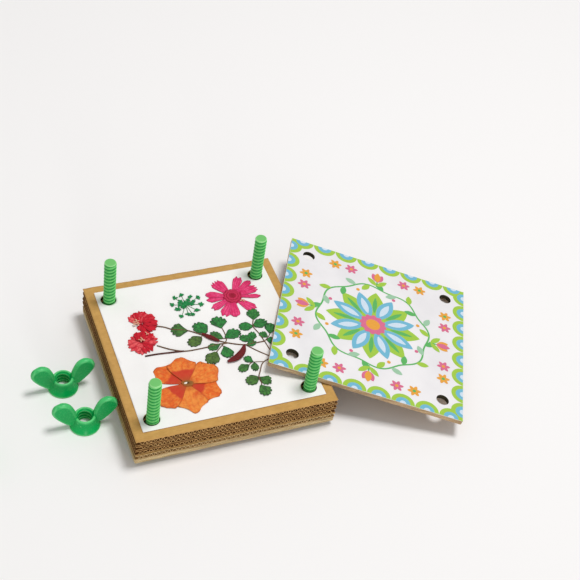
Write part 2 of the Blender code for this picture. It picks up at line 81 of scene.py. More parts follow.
class Value:
    # A socket that can stand in a formula: each operator adds its Math node.
    def __init__(self, recipe, socket):
        self.recipe, self.socket = recipe, socket

    __add__, __radd__ = operator("ADD"), operator("ADD", True)
    __sub__, __rsub__ = operator("SUBTRACT"), operator("SUBTRACT", True)
    __mul__, __rmul__ = operator("MULTIPLY"), operator("MULTIPLY", True)
    __abs__, wave, larger = operator("ABSOLUTE"), operator("SINE"), operator("MAXIMUM")

    def ramp(self, low, high):  # 0 below low, 1 above high, smooth between; low may be the greater
        smooth = {"interpolation_type": "SMOOTHSTEP"}
        return self.recipe.node("MapRange", smooth, {0: self, 1: low, 2: high})


class Recipe:
    # The nodes of one material, or of the world.
    def __init__(self, owner, shader="Principled BSDF"):
        owner.use_nodes = True
        self.tree = owner.node_tree
        self.shader = self.tree.nodes[shader]

    def node(self, kind, settings=None, sockets=None, output=0):  # kind is its type after ShaderNode
        made = self.tree.nodes.new("ShaderNode" + kind)
        for key, value in (settings or {}).items():
            setattr(made, key, value)
        self.fill(made, sockets or {})
        return Value(self, made.outputs[output])

    def fill(self, node, sockets):  # with links and values; three numbers for a colour are a screen colour
        for key, value in sockets.items():
            socket = node.inputs[key]
            if isinstance(value, Value):
                self.tree.links.new(value.socket, socket)
            elif socket.type == "RGBA" and len(value) == 3:
                socket.default_value = colour(*value)
            else:
                socket.default_value = value

    def place(self, stretch=(1, 1, 1)):  # Object coordinates in millimetres, stretched
        point = self.node("TexCoord", output=3)
        return self.node("Mapping", None, {"Vector": point, "Scale": [1000 * s for s in stretch]})

    def part(self, vector, axis):
        return self.node("SeparateXYZ", None, {0: vector}, output=axis)

    def pattern(self):  # the piece's own UV map
        return self.node("UVMap", {"uv_map": "pattern"})

    def tone(self):  # the value that a piece gives to each of its leaves or petals
        return self.node("Attribute", {"attribute_name": "tone"}, output=2)

    def noise(self, scale, detail=3, roughness=0.55, distortion=0, stretch=(1, 1, 1)):
        sockets = {"Vector": self.place(stretch), "Scale": scale, "Detail": detail, "Roughness": roughness}
        return self.node("TexNoise", None, {**sockets, "Distortion": distortion})

    def mix(self, factor, first, second):
        return self.node("Mix", {"data_type": "RGBA"}, {0: factor, 6: first, 7: second}, output=2)

    def finish(self, base, roughness, bump=None, depth=0.0, strength=1.0, specular=0.5):
        sockets = {"Base Color": base, "Roughness": roughness, "Specular IOR Level": specular}
        if bump:
            relief = {"Height": bump, "Distance": depth, "Strength": strength}
            sockets["Normal"] = self.node("Bump", None, relief)
        self.fill(self.shader, sockets)


looks = {}  # the materials, by name


def recipeFor(name):
    looks[name] = bpy.data.materials.new(name)
    return Recipe(looks[name])


def kraftMaterial(name, light, dark, rim=None):
    # Kraft board: long pulp fibres over a soft mottle. A rim colour darkens the last 2 mm or so before the
    # sheet's edges as painted shade, which shows between the sheets.
    r = recipeFor(name)
    mottle = r.noise(0.22, 4)
    fibre = r.noise(1.1, 3, 0.65, stretch=(0.35, 2.2, 1))
    speck = r.noise(3.2, 2).ramp(0.66, 0.74)
    blend = (mottle * 0.55 + fibre * 0.5 - 0.02).ramp(0.25, 0.8)
    base = r.mix(blend, dark, light)
    base = r.mix(speck * 0.35, base, (120, 84, 44))
    # painted shade: the rim colour darkens the sheet's margin that lies between the sheets
    if rim:
        x, y = (abs(r.part(r.place(), axis) - float(stackOrigin[axis]) * 1000) for axis in (0, 1))
        base = r.mix(x.larger(y).ramp(boardHalf - 2.4, boardHalf - 1.4), base, rim)
    r.finish(base, 0.78 + mottle * 0.14, fibre + mottle * 0.6, 0.00006, 0.5, 0.25)


def hardboardMaterial(name, light, dark, paintedHoleShade=None):
    # Pressed fibre: fine layers along the cut edge, none on the flat faces, and hairs and specks over all of
    # it. Where a piece's map is 0, at its cut holes, the walls are darkened as painted shade.
    r = recipeFor(name)
    upright = abs(r.part(r.node("TexCoord", output=1), 2)).ramp(0.9, 0.5)
    layer = r.noise(1.0, 3, 0.6, stretch=(0.06, 0.06, 2.0)) * upright + 0.5 - upright * 0.5
    fibre = r.noise(1.6, 4, 0.7)
    speck = r.noise(2.8, 2).ramp(0.62, 0.72)
    blend = (layer * 0.8 + fibre * 0.35 - 0.08).ramp(0.34, 0.66)
    base = r.mix(speck * 0.5, r.mix(blend, dark, light), (96, 68, 40))
    # painted shade: the hole walls take the dark colour
    if paintedHoleShade:
        base = r.mix(r.part(r.pattern(), 0).ramp(0.03, 0.005), base, paintedHoleShade)
    r.finish(base, 0.82, fibre + layer, 0.00008, 0.6, 0.2)


def paperMaterial():
    r = recipeFor("blottingPaper")
    grain = r.noise(2.4, 4, 0.65)
    cloud = r.noise(0.05, 3)
    base = r.mix((cloud * 0.6 + grain * 0.4).ramp(0.2, 0.9), (241, 238, 236), (250, 248, 246))
    r.finish(base, 0.9, grain, 0.00003, 0.35, 0.2)


def plasticMaterial(name, base, light, edge, gloss):
    # Glossy moulding: faint flow lines in the colour, a painted highlight along its rounded edges, and a
    # soft orange-peel skin.
    r = recipeFor(name)
    flow = r.noise(0.12, 3, 0.5, 0.6)
    skin = r.noise(0.9, 2)
    rounded = r.node("NewGeometry", output=7)
    tint = r.mix(flow.ramp(0.3, 0.75), base, light)
    # painted highlight: the edge colour on convex, rounded edges
    tint = r.mix(rounded.ramp(0.502, 0.516), tint, edge)
    r.finish(tint, gloss + skin * 0.06, skin, 0.00002, 0.1, 0.24)


def threadMaterial():
    # The bolt's softer plastic: a painted highlight on the thread's crests and the tip's rim, painted shade
    # in its grooves.
    r = recipeFor("boltPlastic")
    crest, tip = r.part(r.pattern(), 0), r.part(r.pattern(), 1)
    skin = r.noise(0.8, 3)
    # painted shade in the grooves and a painted highlight on the crests, then a painted highlight on the
    # tip's rim
    base = r.mix((crest + skin * 0.2 - 0.1).ramp(0.25, 0.95), (40, 168, 74), (114, 216, 116))
    base = r.mix(tip.ramp(0.1, 0.4), base, (152, 222, 142))
    base = r.mix(tip.ramp(0.6, 0.95), base, (112, 192, 106))
    r.finish(base, 0.28 + skin * 0.1, skin, 0.00003, 0.2, 0.32)


def lidFaceMaterial():
    r = recipeFor("lidFace")
    grain = r.noise(1.2, 3)
    cloud = r.noise(0.03, 3)
    base = r.mix(cloud.ramp(0.3, 0.7), (228, 225, 227), (238, 235, 236))
    r.finish(base, 0.5 + grain * 0.12, grain, 0.00002, 0.2)


def inkMaterial(name, ink):
    # Printed colour: nearly flat, with a faint unevenness of the print.
    r = recipeFor(name)
    grain = r.noise(1.4, 3)
    deep = (*[c * 0.93 for c in colour(*ink)[:3]], 1)
    r.finish(r.mix(grain.ramp(0.35, 0.65), deep, ink), 0.5 + grain * 0.1, grain, 0.00002, 0.15)


def petalMaterial(name, light, body, dark, rim, foot, veins, veinShare, mottleSize=0.5, toneShare=0.2,
                  patches=0.0):
    # Dried petal: veins fan from foot to tip, it is mottled and stained in patches where it dried,
    # its rim is darker, and petals with a tone above one half have a stained foot.
    r = recipeFor(name)
    uv = r.pattern()
    along, across = r.part(uv, 0), r.part(uv, 1)
    wander = r.noise(0.35, 3)
    lines = (across * veins + wander * 5).wave() * 0.5 + 0.5
    mottle = r.noise(mottleSize, 5, 0.65, 0.4)
    base = r.mix((mottle + r.tone() * toneShare - toneShare / 2).ramp(0.32, 0.68), body, light)
    base = r.mix(r.noise(0.13, 3, 0.5, 0.8).ramp(0.52, 0.66) * patches, base, foot)
    base = r.mix(lines.ramp(0.6, 0.95) * veinShare, base, dark)
    stain = (along + wander * 0.16).ramp(0.6, 0.5) * r.tone().ramp(0.5, 0.52)
    base = r.mix(stain * 0.9, base, foot)
    base = r.mix(along.ramp(0.3, 0.05) * 0.6, base, dark)
    edge = abs(across).ramp(0.86, 1.0).larger(along.ramp(0.93, 1.0))
    base = r.mix(edge * 0.75, base, rim)
    r.finish(base, 0.72, lines * 0.6 + mottle, 0.00008, 0.6, 0.3)


def heartMaterial(name, rings, ringShare, inner, middle, outer):
    # A flower's heart: rings round its middle, coloured from inside outwards.
    r = recipeFor(name)
    along = r.part(r.pattern(), 0)
    grain = r.noise(1.1, 4, 0.65)
    ring = (along * (2 * pi * rings) + grain * 1.6).wave() * 0.5 + 0.5
    base = r.mix((along + grain * 0.3).ramp(0.3, 0.6), inner, middle)
    base = r.mix((along + grain * 0.2).ramp(0.8, 1.08), base, outer)
    base = r.mix(ring.ramp(0.4, 0.9) * ringShare, base, inner)
    r.finish(base, 0.75, ring + grain, 0.0001, 0.6, 0.3)


def leafMaterial():
    # Dried leaf: faint ribs spread from the stalk over a mottled green, olive where its tone is
    # high, with a dark rim.
    r = recipeFor("driedLeaf")
    uv = r.pattern()
    along, fan = r.part(uv, 0), r.part(uv, 1)
    ribs = (fan * (2 * pi * 6)).wave() * 0.5 + 0.5
    mottle = r.noise(0.55, 5, 0.65, 0.5)
    fresh = r.mix(mottle.ramp(0.35, 0.65), (16, 82, 34), (36, 134, 54))
    olive = r.mix(mottle.ramp(0.35, 0.65), (46, 68, 26), (86, 118, 44))
    base = r.mix(r.tone(), fresh, olive)
    base = r.mix(ribs.ramp(0.8, 1.0) * 0.22, base, (96, 156, 80))
    base = r.mix(along.ramp(0.8, 1.0) * 0.75, base, (16, 46, 20))
    r.finish(base, 0.66, ribs * 0.5 + mottle, 0.0001, 0.6, 0.35)


def plainMaterial(name, light, dark, scale=1.2):
    r = recipeFor(name)
    mottle = r.noise(scale, 4, 0.65)
    r.finish(r.mix(mottle.ramp(0.3, 0.7), dark, light), 0.75, mottle, 0.0001, 0.6, 0.3)


# Screen colours: the kraft board's light and dark fibres and its rim, which is painted shade, as is the
# darker kraft of the flutes' insides, while the brighter kraft of the cut edges is painted light; plain
# materials with the scale of their mottle, the first of them painted shade in the cardboard's holes; and the
# printed inks.

kraftTones = {
    "kraftFace": ((208, 163, 94), (184, 140, 76)),
    "kraftShaded": ((208, 163, 94), (184, 140, 76), (112, 72, 34)),
    "kraftInsidePaintedShade": ((132, 88, 42), (76, 44, 16)), "paleInsidePaintedShade": ((186, 144, 88), (130, 96, 54)),
    "brownCutPaintedLight": ((244, 190, 120), (190, 138, 78)), "brownWavePaintedLight": ((246, 198, 130), (194, 146, 84)),
    "paleCutPaintedLight": ((246, 214, 158), (212, 176, 122)), "paleWavePaintedLight": ((242, 208, 152), (196, 160, 108)),
}
plainTones = {
    # the first colour is painted shade for the lining of the cardboard's holes
    "holePaintedShade": ((44, 30, 18), (20, 14, 9)), "stamen": ((246, 196, 172), (206, 150, 110), 2.5),
    "paleHeart": ((250, 244, 236), (236, 222, 204), 2.0), "umbelGreen": ((36, 156, 84), (8, 96, 46)),
    "umbelRay": ((120, 160, 116), (60, 116, 70), 1.5), "driedStem": ((126, 98, 70), (78, 52, 36), 1.0),
    "darkStem": ((96, 52, 44), (58, 26, 24), 1.0), "maroonPod": ((120, 24, 26), (76, 12, 16), 0.9),
}
inks = {"lime": (160, 200, 58), "blue": (110, 182, 210), "paleBlue": (207, 224, 238),
        "pink": (217, 104, 140), "orange": (232, 160, 48), "sage": (156, 199, 165), "green": (86, 177, 90)}

print("materials")
for name, tones in kraftTones.items():
    kraftMaterial(name, *tones)
for name, tones in plainTones.items():
    plainMaterial(name, *tones)
for name, ink in inks.items():
    inkMaterial(name + "Ink", ink)
hardboardMaterial("hardboard", (232, 206, 156), (138, 110, 68))
# the last colour is painted shade on the walls of the lid's holes
hardboardMaterial("lidEdge", (216, 186, 146), (154, 122, 88), (64, 58, 40))
paperMaterial()
# the third colour is the painted highlight along the rounded edges
plasticMaterial("nutPlastic", (0, 165, 80), (0, 174, 86), (96, 206, 126), 0.24)
threadMaterial()
lidFaceMaterial()
leafMaterial()
petalMaterial("pinkPetal", (240, 84, 138), (218, 38, 100), (180, 20, 76), (132, 20, 70), (190, 24, 78),
              veins=12, veinShare=0.6)
petalMaterial("orangePetal", (238, 144, 60), (224, 96, 26), (168, 84, 30), (178, 84, 30), (196, 48, 30),
              veins=16, veinShare=0.16, mottleSize=0.42, toneShare=-0.16, patches=0.3)
petalMaterial("redPetal", (230, 54, 70), (200, 8, 36), (134, 2, 20), (146, 8, 32), (150, 2, 24),
              veins=9, veinShare=0.35, mottleSize=0.35, toneShare=0.6)
petalMaterial("coralPetal", (240, 108, 108), (214, 40, 58), (168, 8, 34), (184, 40, 58), (190, 12, 40),
              veins=9, veinShare=0.5, mottleSize=0.4, toneShare=0.6, patches=0.4)
heartMaterial("crimsonDisc", 3.5, 0.75, (152, 12, 46), (200, 42, 84), (176, 24, 70))
heartMaterial("oliveHeart", 1, 0.1, (84, 58, 24), (142, 92, 38), (166, 92, 36))


def added(name, data):
    obj = bpy.data.objects.new(name, data)
    bpy.context.scene.collection.objects.link(obj)
    return obj


# Meshes from numpy grids
def piece(name, grids, materials, body, replaced=(), closed=False, sharp=None):
    # One object from grids of points, rows x columns x 3. A seam or pole repeats its points, which
    # are merged here. With rows going outwards and columns anticlockwise a face looks up.
    points, faces, uv, tone, slots, count = [], [], [], [], [], 0
    for grid in grids:
        shape = grid["points"].shape[:2]
        index = count + np.arange(shape[0] * shape[1]).reshape(shape)
        quads = np.stack([index[:-1, :-1], index[1:, :-1], index[1:, 1:], index[:-1, 1:]], -1)
        if "shown" in grid:
            quads = quads[grid["shown"]]
        quads = quads.reshape(-1, 4)
        faces.append(quads)
        points.append(grid["points"].reshape(-1, 3))
        uv.append(grid.get("uv", np.zeros((*shape, 2))).reshape(-1, 2))
        tone.append(np.full(shape[0] * shape[1], grid.get("tone", 0.5)))
        slots.append(np.full(len(quads), grid.get("slot", 0)))
        count += shape[0] * shape[1]
    points, faces, uv, tone = (np.concatenate(part) for part in (points, faces, uv, tone))
    mesh = bpy.data.meshes.new(name)
    mesh.from_pydata((points / 1000 + stackOrigin).tolist(), [], faces.tolist())
    mesh.uv_layers.new(name="pattern").data.foreach_set("uv", uv[faces.ravel()].ravel())
    mesh.attributes.new("tone", "FLOAT", "POINT").data.foreach_set("value", tone)
    mesh.polygons.foreach_set("material_index", np.concatenate(slots))
    form = bmesh.new()
    form.from_mesh(mesh)
    bmesh.ops.remove_doubles(form, verts=form.verts, dist=2e-6)
    if closed:
        bmesh.ops.recalc_face_normals(form, faces=form.faces)
    form.to_mesh(mesh)
    form.free()
    for material in materials:
        mesh.materials.append(looks[material])
    mesh.shade_smooth()
    if sharp:
        mesh.set_sharp_from_angle(angle=radians(sharp))
    obj = added(name, mesh)
    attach(obj, body)
    if replaced:
        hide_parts(*replaced)
    return obj


def wall(obj, thickness, offset=-1.0, rim=None, back=0, bevel=0.0):
    # Gives a sheet its thickness, and if wanted softened rims.
    solid = obj.modifiers.new("thickness", "SOLIDIFY")
    solid.thickness, solid.offset = thickness / 1000, offset
    solid.use_even_offset = False
    solid.material_offset, solid.material_offset_rim = back, back if rim is None else rim
    if bevel:
        soft = obj.modifiers.new("softRim", "BEVEL")
        soft.width, soft.segments, soft.limit_method = bevel / 1000, 2, "ANGLE"
        soft.angle_limit = radians(50)


def stacked(x, y, z):  # coordinates, each a number or an array, as one array of points
    return np.stack(np.broadcast_arrays(x, y, z), -1).astype(float)


def crossed(rows, columns):  # two ranges, each from, to and count, as a grid
    return np.meshgrid(np.linspace(*rows), np.linspace(*columns), indexing="ij")


def circled(at, radius, angle, height):  # at + radius * (cos, sin) of the angle
    return stacked(at[0] + radius * np.cos(angle), at[1] + radius * np.sin(angle), height)


def swung(at, turn, along, across):  # lengths along and across a direction, in radians, as x and y
    c, s = cos(turn), sin(turn)
    return at[0] + along * c - across * s, at[1] + along * s + across * c


def polar(reach, angle):  # the point at this distance and direction from the middle
    return reach * cos(angle), reach * sin(angle)


def unevenness(along, step, seed):
    # Random values every step millimetres, joined smoothly.
    values = np.random.default_rng(seed).uniform(-1, 1, 1024)
    place = np.asarray(along) / step + 512
    low = np.floor(place).astype(int)
    share = place - low
    share = share * share * (3 - 2 * share)
    return values[low % 1024] * (1 - share) + values[(low + 1) % 1024] * share


def unevenSheet(x, y, step, seed):
    # The same over a plane: four crossing lines of unevenness, added and divided by 2.2.
    total = 0
    for i, angle in enumerate((0.3, 1.2, 2.0, 2.8)):
        total = total + unevenness(x * cos(angle) + y * sin(angle), step, seed + i)
    return total / 2.2


def quadrants(half, hole, holeRadius, perSide, rings, slip=(0, 0)):
    # A square sheet with four holes as four grids: rows run from a hole's circle straight to the
    # quadrant's edge, and columns go once round it, closer together at the sheet's outer corner.
    # The holes are moved by slip, and the edges stay.
    side, along = np.divmod(np.arange(4 * perSide), perSide)
    share = along / perSide
    share = np.where(side == 1, 1 - (1 - share) ** 1.8, np.where(side == 2, share ** 1.8, share))
    corners = np.array([[0, 0], [half, 0], [half, half], [0, half], [0, 0]])
    edge = corners[side] + share[:, None] * (corners[side + 1] - corners[side])
    edge = np.concatenate([edge, edge[:1]])
    away = edge - hole
    circle = hole + holeRadius * away / np.linalg.norm(away, axis=1, keepdims=True)
    growth = np.linspace(0, 1, rings + 1)[:, None, None] ** 1.5
    flat = circle + growth * (edge - circle)
    for flipX, flipY in ((1, 1), (-1, 1), (-1, -1), (1, -1)):
        turned = flat * (flipX, flipY) + np.array(slip) * (1 - growth)
        yield turned if flipX * flipY > 0 else turned[:, ::-1]


def roundedCorners(flat, half, radius):
    # Points in a corner's square move onto its quarter circle: q becomes q * max(q) / length(q).
    inner = half - radius
    over = np.clip((np.abs(flat) - inner) / radius, 0, None)
    both = (over > 0).all(-1, keepdims=True)
    shrink = over.max(-1, keepdims=True) / np.maximum(np.linalg.norm(over, axis=-1, keepdims=True), 1e-9)
    return np.where(both, np.sign(flat) * (inner + over * radius * shrink), flat)


def tube(path, radius, around=8, bulge=None, flat=1.0):
    # Circles carried along a path, pressed flat, closed to a point at both ends.
    path = np.asarray(path, float)
    path = np.concatenate([path[:1], path, path[-1:]])
    size = np.full(len(path), float(radius)) if bulge is None else np.concatenate([[0], bulge, [0]]) * radius
    size[0] = size[-1] = 0
    ahead = np.gradient(path[:, :2], axis=0)
    ahead /= np.maximum(np.linalg.norm(ahead, axis=1, keepdims=True), 1e-9)
    angle = np.linspace(0, 2 * pi, around + 1)
    aside, up = np.cos(angle) * size[:, None], np.sin(angle) * size[:, None] * flat
    return stacked(path[:, :1] - ahead[:, 1:] * aside, path[:, 1:2] + ahead[:, :1] * aside, path[:, 2:] + up)


def smoothPath(points, count):
    # A curve through points: each coordinate is a smooth cubic of the length so far.
    points = np.asarray(points, float)
    length = np.concatenate([[0], np.cumsum(np.linalg.norm(np.diff(points, axis=0), axis=1))])
    slope = np.gradient(points, length, axis=0)
    at = np.linspace(0, length[-1], count)
    i = np.clip(np.searchsorted(length, at, "right") - 1, 0, len(points) - 2)
    step = length[i + 1] - length[i]
    t = ((at - length[i]) / step)[:, None]
    step = step[:, None]
    return ((2 * t**3 - 3 * t**2 + 1) * points[i] + (t**3 - 2 * t**2 + t) * step * slope[i]
            + (3 * t**2 - 2 * t**3) * points[i + 1] + (t**3 - t**2) * step * slope[i + 1])


print("bottom board")
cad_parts["bottom_board"].data.materials.clear()
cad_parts["bottom_board"].data.materials.append(looks["hardboard"])


cardboard = {"half": boardHalf, "hole": boltReach, "holeRadius": 4.7, "holeSlip": (-0.5, 0.15),
             "liner": 0.34, "flutePitch": 2.7, "ragged": 0.16, "crush": 0.3, "lean": 0.8, "flattened": 6}


def cardboardSheet(number, facing, inside, cut, wave, shift):
    # Two liners, a web between them with height = middle + reach * sin(2 pi x / pitch), crushed and leaning
    # here and there, and a dark lining round each hole that is painted shade. The flutes' insides take a
    # darker kraft as painted shade, and the cut edges a brighter kraft as painted light.
    low, high = heights(f"cardboard_sheet_{number}")
    c, liner = cardboard, cardboard["liner"]
    grids = []
    for level, side in ((low + liner / 2, 0), (high - liner / 2, 1)):
        for flat in quadrants(c["half"], c["hole"], c["holeRadius"], 30, 10, c["holeSlip"]):
            x, y = flat[..., 0], flat[..., 1]
            rim = np.clip((np.abs(y) - (c["half"] - 3)) / 3, 0, 1) ** 2
            ragged = unevenness(x, 1.3, number * 7 + side) * c["ragged"] * rim
            dip = 0.025 * np.cos(2 * pi * x / c["flutePitch"]) * (1 if side else -1)
            points = stacked(x + shift[0], y + ragged * np.sign(y) + shift[1], level + dip)
            grids.append({"points": points, "slot": 0 if side else 1})
    flutes = int((2 * c["half"] - 1.2) / c["flutePitch"])
    x = np.linspace(-flutes / 2, flutes / 2, flutes * 12 + 1) * c["flutePitch"]
    y = c["half"] - np.array([0.1, 1.4, 6, 20, 40, 60])
    x, y = np.meshgrid(x, np.concatenate([-y, y[-2::-1]]))
    nearCut = np.clip((np.abs(y) - (c["half"] - 10)) / 9, 0, 1)
    reach = (high - low - 3 * liner) / 2 * (1 + c["crush"] * unevenness(x, 2.6, number * 11 + 3) * nearCut)
    lean = c["lean"] * unevenness(x, 5, number * 5 + 1)
    z = (low + high) / 2 + reach * np.sin(2 * pi * (x + lean) / c["flutePitch"] + number)
    z = z + 0.3 * unevenness(x, 2.1, number * 17) * nearCut
    z = np.clip(z, low + 1.4 * liner, high - 1.4 * liner)
    ends = unevenness(x, 0.8, number * 13 + 2) * c["ragged"] * 1.3 * (np.abs(y) > c["half"] - 1)
    centreX, centreY = (x[:-1, :-1] + x[1:, 1:]) / 2, (y[:-1, :-1] + y[1:, 1:]) / 2
    offY = np.clip(np.abs(np.abs(centreY) - c["hole"]) - c["flattened"], 0, None)
    reachOff = np.hypot(np.abs(centreX) - c["hole"], offY)
    shown = reachOff > c["holeRadius"] + 0.3
    points = stacked(x + shift[0], y + ends * np.sign(y) + shift[1], z)
    grids.append({"points": points, "slot": 1, "shown": shown})
    angle = np.linspace(0, 2 * pi, 49)
    level = np.array([[low + liner], [high - liner * 0.4]])
    lining = c["holeRadius"] + 0.2
    for place in boltPlaces.values():
        ring = circled(np.array(place) + shift + c["holeSlip"], lining, angle, level)
        grids.append({"points": ring, "slot": 5})
    sheet = piece(f"corrugatedSheet{number}", grids, [facing, inside, inside, cut, wave, "holePaintedShade"],
                  f"sheet_{number}", [f"cardboard_sheet_{number}"])
    wall(sheet, liner, 0.0, rim=3, back=1)


print("cardboard")
# each sheet's insides are painted shade, and its cut edges and web edges are kraft brightened as painted
# light
cardboardSheet(1, "kraftFace", "paleInsidePaintedShade", "paleCutPaintedLight", "paleWavePaintedLight", (0.05, -0.05))
cardboardSheet(2, "kraftShaded", "kraftInsidePaintedShade", "brownCutPaintedLight", "brownWavePaintedLight", (-0.15, 0.1))
cardboardSheet(3, "kraftShaded", "kraftInsidePaintedShade", "brownCutPaintedLight", "brownWavePaintedLight", (0.12, 0.05))
cardboardSheet(4, "kraftFace", "kraftInsidePaintedShade", "brownCutPaintedLight", "brownWavePaintedLight", (0.0, 0.0))


# Papers

paper = {"half": 54.5, "hole": boltReach, "holeRadius": 4.75, "innerHole": 5.3, "thickness": 0.22,
         "curl": 0.14, "innerCurl": 0.05}


def paperSheet(name, node, body, seed, curl, holeRadius):
    # A flat sheet whose rims lift by curl, with a slow unevenness.
    low = heights(node)[0]
    grids = []
    for flat in quadrants(paper["half"], paper["hole"], holeRadius, 30, 12, cardboard["holeSlip"]):
        x, y = flat[..., 0], flat[..., 1]
        rim = np.maximum(np.abs(x), np.abs(y)) / paper["half"]
        lift = curl * np.clip((rim - 0.9) / 0.1, 0, 1) ** 2 * (0.5 + 0.5 * unevenness(x + y * 1.3, 22, seed))
        z = low + paper["thickness"] + lift + 0.02 * (1 + unevenSheet(x, y, 18, seed))
        grids.append({"points": stacked(x, y, z)})
    sheet = piece(name, grids, ["blottingPaper"], body, [node])
    wall(sheet, paper["thickness"])


print("papers")
for number in (1, 2, 3):
    paperSheet(f"innerPaper{number}", f"blotting_paper_{number}", f"paper_{number}", number,
               paper["innerCurl"], paper["innerHole"])
paperSheet("upperPaper", "top_paper", "top_layer", 9, paper["curl"], paper["holeRadius"])
paperTop = heights("top_paper")[0] + paper["thickness"] + 0.06


# The head's and tip's profiles are (radius, height above the bolt's foot or over its end).

bolt = {
    "radius": 3.7, "depth": 0.8, "pitch": 2.6, "threadFrom": 16.9, "chamfer": 0.75,
    "head": ((0, 0), (5.9, 0), (6.5, 0.05), (6.85, 0.25), (7, 0.6), (7, 2.5), (6.9, 2.8), (6.6, 3),
             (3.75, 3), (3.7, 3.1)),
    "tip": ((3.45, -0.5), (3.36, -0.2), (3.2, -0.05), (2.9, 0), (1.2, 0), (0, 0)),
}


def boltGrid(place, low, high, phase):
    # radius = root + depth * (0.5 - 0.5 cos(2 pi (height / pitch - angle / 2 pi + phase))) ^ 0.7,
    # over the threaded length, fading into the shank and the tip.
    b = bolt
    rows = int((high - b["threadFrom"]) / b["pitch"] * 16)
    profile = [(r, low + z) for r, z in b["head"]]
    profile += [(b["radius"], z) for z in np.linspace(b["threadFrom"], high - b["chamfer"], rows)]
    profile = np.array(profile + [(r, high + z) for r, z in b["tip"]])
    angle = np.linspace(0, 2 * pi, 65)
    radius, z = profile[:, :1], profile[:, 1:]
    turn = z / b["pitch"] - angle / (2 * pi) + phase
    ridge = (0.5 - 0.5 * np.cos(2 * pi * turn)) ** 0.7
    threaded = np.clip((z - b["threadFrom"]) / 2, 0, 1) * np.clip((high - 0.1 - z) / 1.2, 0, 1)
    radius = np.where(threaded > 0, radius - b["depth"] * threaded * (1 - ridge), radius)
    points = circled(place, radius, angle, z)
    crest = 1 - threaded * (1 - ridge) + 0 * angle
    tip = np.clip((z - high + 0.8) / 0.6, 0, 0.5) + (z >= high) * 0.5 + 0 * angle
    return {"points": points, "uv": np.stack([crest, tip], -1)}


print("bolts")
for i, (corner, place) in enumerate(boltPlaces.items()):
    low, high = heights("bolt_" + corner)
    piece("threadedBolt_" + corner, [boltGrid(place, low, high, 0.23 * i)], ["boltPlastic"],
          corner + "_bolt", ["bolt_" + corner], closed=True, sharp=50)


# The hub's profile is (radius, height), up its outside to the bore's edge.

nut = {
    "voxel": 0.22, "smoothing": 13, "bore": 4.3, "threadDepth": 0.6, "pitch": 2.6, "wingFoot": (6.4, 3.2),
    "footWidth": 3.1, "wingMiddle": (12.65, 14.7), "wingRadius": 6.0, "wingHalf": 1.8,
    "turns": {"front": -3, "back": 1, "outer_back": 70, "outer_front": 105},
    "hub": [(4.2, 0), (8.4, 0), (8.8, 0.15), (8.95, 0.5), (8.84, 1.0), (8.46, 1.7), (7.96, 2.6),
            (7.5, 3.5), (7.12, 4.4), (6.84, 5.3), (6.64, 6.1), (6.5, 6.8), (6.36, 7.4), (6.12, 8.0),
            (5.76, 8.45), (5.34, 8.62), (4.94, 8.5), (4.62, 8.1), (4.45, 7.6)],
}


def hubGrid():
    # The hub's outside and its threaded bore as one closed profile turned about the axis.
    n = nut
    inside = [(n["bore"], z) for z in np.linspace(7.1, 0.6, 34)]
    profile = np.array(n["hub"] + inside + n["hub"][:1])
    angle = np.linspace(0, 2 * pi, 73)
    radius, z = profile[:, :1], profile[:, 1:]
    ridge = 0.5 - 0.5 * np.cos(2 * pi * (z / n["pitch"] - angle / (2 * pi)))
    threaded = (radius <= n["bore"] + 0.001) * n["threadDepth"]
    radius = radius - threaded * ridge ** 1.5
    return circled((0, 0), radius, angle, z)


def wingGrid(side):
    # A paddle along a leaning line. Its half width grows from foot to lobe and ends as a circle, its
    # half thickness rounds off within its own depth of the tip, and a section is a flat band with
    # half-round rims: across = (width - thick) * sign(cos) + thick * cos, deep = thick * sin.
    n = nut
    foot, centre = np.array(n["wingFoot"], float), np.array(n["wingMiddle"], float)
    run = np.linalg.norm(centre - foot)
    ahead = (centre - foot) / run
    total = run + n["wingRadius"]
    along = (1 - (1 - np.linspace(0, 1, 60)) ** 1.8) * total
    beyond = np.clip((along - run) / n["wingRadius"], 0, 1)
    growth = np.sin(np.clip(along / run, 0, 1) * pi / 2) ** 0.95
    width = (n["footWidth"] + (n["wingRadius"] - n["footWidth"]) * growth) * np.sqrt(1 - beyond ** 2)
    nearTip = np.clip((along - total) / n["wingHalf"] + 1, 0, 1)
    thick = np.minimum(n["wingHalf"] * np.sqrt(1 - nearTip ** 2), width)
    width[0] = thick[0] = 0
    angle = np.linspace(0, 2 * pi, 65) + pi / 64
    across = (width - thick)[:, None] * np.sign(np.cos(angle)) + thick[:, None] * np.cos(angle)
    x = foot[0] + ahead[0] * along[:, None] - ahead[1] * across
    z = foot[1] + ahead[1] * along[:, None] + ahead[0] * across
    return stacked(np.maximum(x, 4.9) * side, thick[:, None] * np.sin(angle) * side, z)


def fused(grids, voxel, smoothing):
    # Overlapping closed forms as one skin: a voxel remesh, then its steps smoothed away.
    lump = piece("lump", [{"points": g} for g in grids], ["nutPlastic"], "front_nut", closed=True)
    skin = lump.modifiers.new("skin", "REMESH")
    skin.mode, skin.voxel_size = "VOXEL", voxel / 1000
    soft = lump.modifiers.new("soft", "SMOOTH")
    soft.factor, soft.iterations = 0.5, smoothing
    mesh = bpy.data.meshes.new_from_object(lump.evaluated_get(bpy.context.evaluated_depsgraph_get()))
    bpy.data.objects.remove(lump, do_unlink=True)
    return mesh


